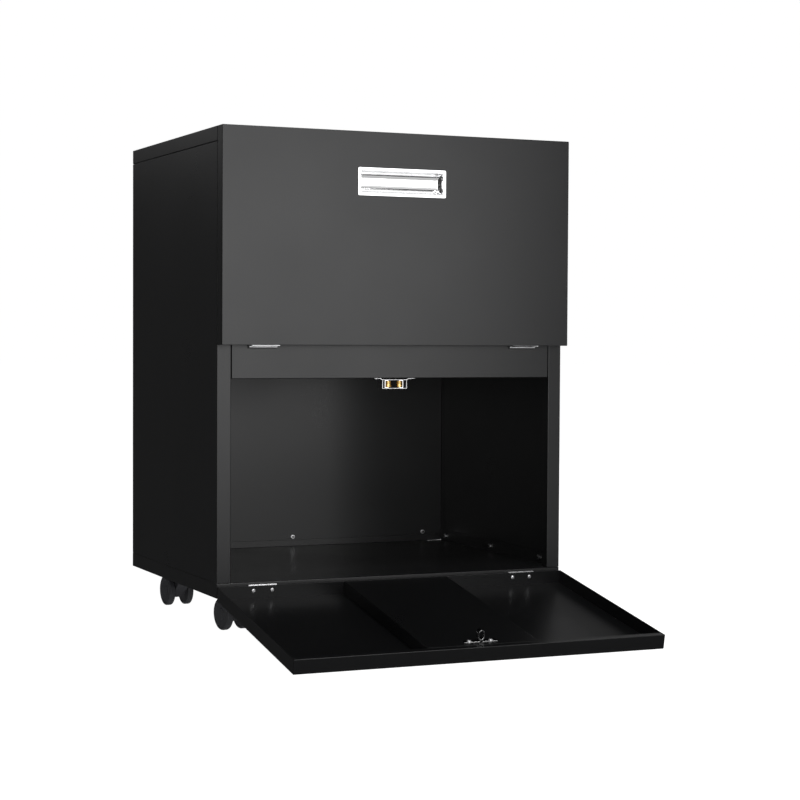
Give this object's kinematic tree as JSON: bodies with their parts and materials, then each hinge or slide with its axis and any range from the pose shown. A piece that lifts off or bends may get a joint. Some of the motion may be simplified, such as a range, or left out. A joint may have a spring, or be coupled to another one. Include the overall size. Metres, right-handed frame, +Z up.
{
  "type": "parcel drop box",
  "caption": "Mobile sheet-steel parcel drop box: a drop compartment over a collection compartment, each behind a fold-down door with a recessed pull and a roller catch, on twin-wheel casters.",
  "frame": {"origin": "centre of the footprint on the floor, with the lower door folded down as drawn", "axes": "+X across the cabinet to the right as seen from its front, +Y towards its back, +Z up"},
  "size_m": [0.6, 0.7992, 0.793],
  "materials": {
    "powder_coat": "satin fine-texture powder coat",
    "stainless": "bright polished stainless steel",
    "zinc": "bright zinc plate",
    "brass": "bare turned brass",
    "caster_plastic": "moulded nylon, satin"
  },
  "bodies": {
    "cabinet": {"top_cap": "powder_coat", "left_side_panel": "powder_coat", "right_side_panel": "powder_coat", "back_panel": "powder_coat", "base_tray": "powder_coat", "middle_rail": "powder_coat", "middle_shelf": "powder_coat", "caster_channels": "powder_coat", "panel_nuts": "zinc", "upper_left_fixed_leaf": "zinc", "upper_right_fixed_leaf": "zinc", "lower_left_fixed_leaf": "zinc", "lower_right_fixed_leaf": "zinc", "hinge_pins": "stainless", "fixed_leaf_screws": "zinc", "upper_catch_frame": "zinc", "lower_catch_frame": "zinc", "catch_rivets": "zinc", "catch_screws": "zinc", "caster_plates": "zinc", "caster_screws": "zinc"},
    "upper_flap": {"upper_flap_panel": "powder_coat", "upper_flap_cover": "powder_coat", "upper_flap_pull": "stainless", "upper_flap_strike": "stainless", "upper_flap_screws": "zinc", "upper_left_moving_leaf": "zinc", "upper_right_moving_leaf": "zinc"},
    "lower_door": {"lower_door_panel": "powder_coat", "lower_door_cover": "powder_coat", "lower_door_pull": "stainless", "lower_door_strike": "stainless", "lower_door_screws": "zinc", "lower_left_moving_leaf": "zinc", "lower_right_moving_leaf": "zinc"},
    "upper_left_arm": {"upper_left_roller_arm": "stainless"},
    "upper_left_roll": {"upper_left_roller": "brass"},
    "upper_right_arm": {"upper_right_roller_arm": "stainless"},
    "upper_right_roll": {"upper_right_roller": "brass"},
    "lower_left_arm": {"lower_left_roller_arm": "stainless"},
    "lower_left_roll": {"lower_left_roller": "brass"},
    "lower_right_arm": {"lower_right_roller_arm": "stainless"},
    "lower_right_roll": {"lower_right_roller": "brass"},
    "front_left_caster": {"front_left_hood": "caster_plastic", "front_left_axle": "stainless"},
    "front_left_outer": {"front_left_outer_wheel": "caster_plastic"},
    "front_left_inner": {"front_left_inner_wheel": "caster_plastic"},
    "front_right_caster": {"front_right_hood": "caster_plastic", "front_right_axle": "stainless"},
    "front_right_outer": {"front_right_outer_wheel": "caster_plastic"},
    "front_right_inner": {"front_right_inner_wheel": "caster_plastic"},
    "rear_left_caster": {"rear_left_hood": "caster_plastic", "rear_left_axle": "stainless"},
    "rear_left_outer": {"rear_left_outer_wheel": "caster_plastic"},
    "rear_left_inner": {"rear_left_inner_wheel": "caster_plastic"},
    "rear_right_caster": {"rear_right_hood": "caster_plastic", "rear_right_axle": "stainless"},
    "rear_right_outer": {"rear_right_outer_wheel": "caster_plastic"},
    "rear_right_inner": {"rear_right_inner_wheel": "caster_plastic"}
  },
  "joints": [
    {"name": "upper_flap_hinge", "type": "hinge", "parent": "cabinet", "child": "upper_flap", "pos_m": [0, -0.06618, 0.4542], "axis": [1, 0, 0], "range_deg": [0, 104]},
    {"name": "lower_door_hinge", "type": "hinge", "parent": "cabinet", "child": "lower_door", "pos_m": [0, -0.06618, 0.0827], "axis": [-1, 0, 0], "range_deg": [0, 100.4]},
    {"name": "upper_left_arm_spring", "type": "hinge", "parent": "cabinet", "child": "upper_left_arm", "pos_m": [-0.013, -0.04938, 0.7604], "axis": [0, 0, -1], "range_deg": [0, 10], "stiffness_Nm_per_rad": 0.05},
    {"name": "upper_left_roller_spin", "type": "hinge", "parent": "upper_left_arm", "child": "upper_left_roll", "pos_m": [-0.0098, -0.05588, 0.7604], "axis": [0, 0, 1], "continuous": true},
    {"name": "upper_right_arm_spring", "type": "hinge", "parent": "cabinet", "child": "upper_right_arm", "pos_m": [0.013, -0.04938, 0.7604], "axis": [0, 0, 1], "range_deg": [0, 10], "stiffness_Nm_per_rad": 0.05},
    {"name": "upper_right_roller_spin", "type": "hinge", "parent": "upper_right_arm", "child": "upper_right_roll", "pos_m": [0.0098, -0.05588, 0.7604], "axis": [0, 0, 1], "continuous": true},
    {"name": "lower_left_arm_spring", "type": "hinge", "parent": "cabinet", "child": "lower_left_arm", "pos_m": [-0.013, -0.04938, 0.3949], "axis": [0, 0, -1], "range_deg": [0, 10], "stiffness_Nm_per_rad": 0.05},
    {"name": "lower_left_roller_spin", "type": "hinge", "parent": "lower_left_arm", "child": "lower_left_roll", "pos_m": [-0.0098, -0.05588, 0.3949], "axis": [0, 0, 1], "continuous": true},
    {"name": "lower_right_arm_spring", "type": "hinge", "parent": "cabinet", "child": "lower_right_arm", "pos_m": [0.013, -0.04938, 0.3949], "axis": [0, 0, 1], "range_deg": [0, 10], "stiffness_Nm_per_rad": 0.05},
    {"name": "lower_right_roller_spin", "type": "hinge", "parent": "lower_right_arm", "child": "lower_right_roll", "pos_m": [0.0098, -0.05588, 0.3949], "axis": [0, 0, 1], "continuous": true},
    {"name": "front_left_swivel", "type": "hinge", "parent": "cabinet", "child": "front_left_caster", "pos_m": [-0.2335, 0.01462, 0.06], "axis": [0, 0, 1], "continuous": true},
    {"name": "front_left_outer_wheel_spin", "type": "hinge", "parent": "front_left_caster", "child": "front_left_outer", "pos_m": [-0.25411, 0.03768, 0.026], "axis": [0.9877, 0.1564, 0], "continuous": true},
    {"name": "front_left_inner_wheel_spin", "type": "hinge", "parent": "front_left_caster", "child": "front_left_inner", "pos_m": [-0.22102, 0.04292, 0.026], "axis": [0.9877, 0.1564, 0], "continuous": true},
    {"name": "front_right_swivel", "type": "hinge", "parent": "cabinet", "child": "front_right_caster", "pos_m": [0.2335, 0.01462, 0.06], "axis": [0, 0, 1], "continuous": true},
    {"name": "front_right_outer_wheel_spin", "type": "hinge", "parent": "front_right_caster", "child": "front_right_outer", "pos_m": [0.25288, 0.03872, 0.026], "axis": [0.9945, -0.1045, 0], "continuous": true},
    {"name": "front_right_inner_wheel_spin", "type": "hinge", "parent": "front_right_caster", "child": "front_right_inner", "pos_m": [0.21956, 0.04222, 0.026], "axis": [0.9945, -0.1045, 0], "continuous": true},
    {"name": "rear_left_swivel", "type": "hinge", "parent": "cabinet", "child": "rear_left_caster", "pos_m": [-0.2335, 0.32162, 0.06], "axis": [0, 0, 1], "continuous": true},
    {"name": "rear_left_outer_wheel_spin", "type": "hinge", "parent": "rear_left_caster", "child": "rear_left_outer", "pos_m": [-0.25202, 0.34638, 0.026], "axis": [0.9976, 0.0698, 0], "continuous": true},
    {"name": "rear_left_inner_wheel_spin", "type": "hinge", "parent": "rear_left_caster", "child": "rear_left_inner", "pos_m": [-0.2186, 0.34872, 0.026], "axis": [0.9976, 0.0698, 0], "continuous": true},
    {"name": "rear_right_swivel", "type": "hinge", "parent": "cabinet", "child": "rear_right_caster", "pos_m": [0.2335, 0.32162, 0.06], "axis": [0, 0, 1], "continuous": true},
    {"name": "rear_right_outer_wheel_spin", "type": "hinge", "parent": "rear_right_caster", "child": "rear_right_outer", "pos_m": [0.24887, 0.34846, 0.026], "axis": [0.9986, 0.0523, 0], "continuous": true},
    {"name": "rear_right_inner_wheel_spin", "type": "hinge", "parent": "rear_right_caster", "child": "rear_right_inner", "pos_m": [0.21541, 0.3467, 0.026], "axis": [0.9986, 0.0523, 0], "continuous": true}
  ]
}
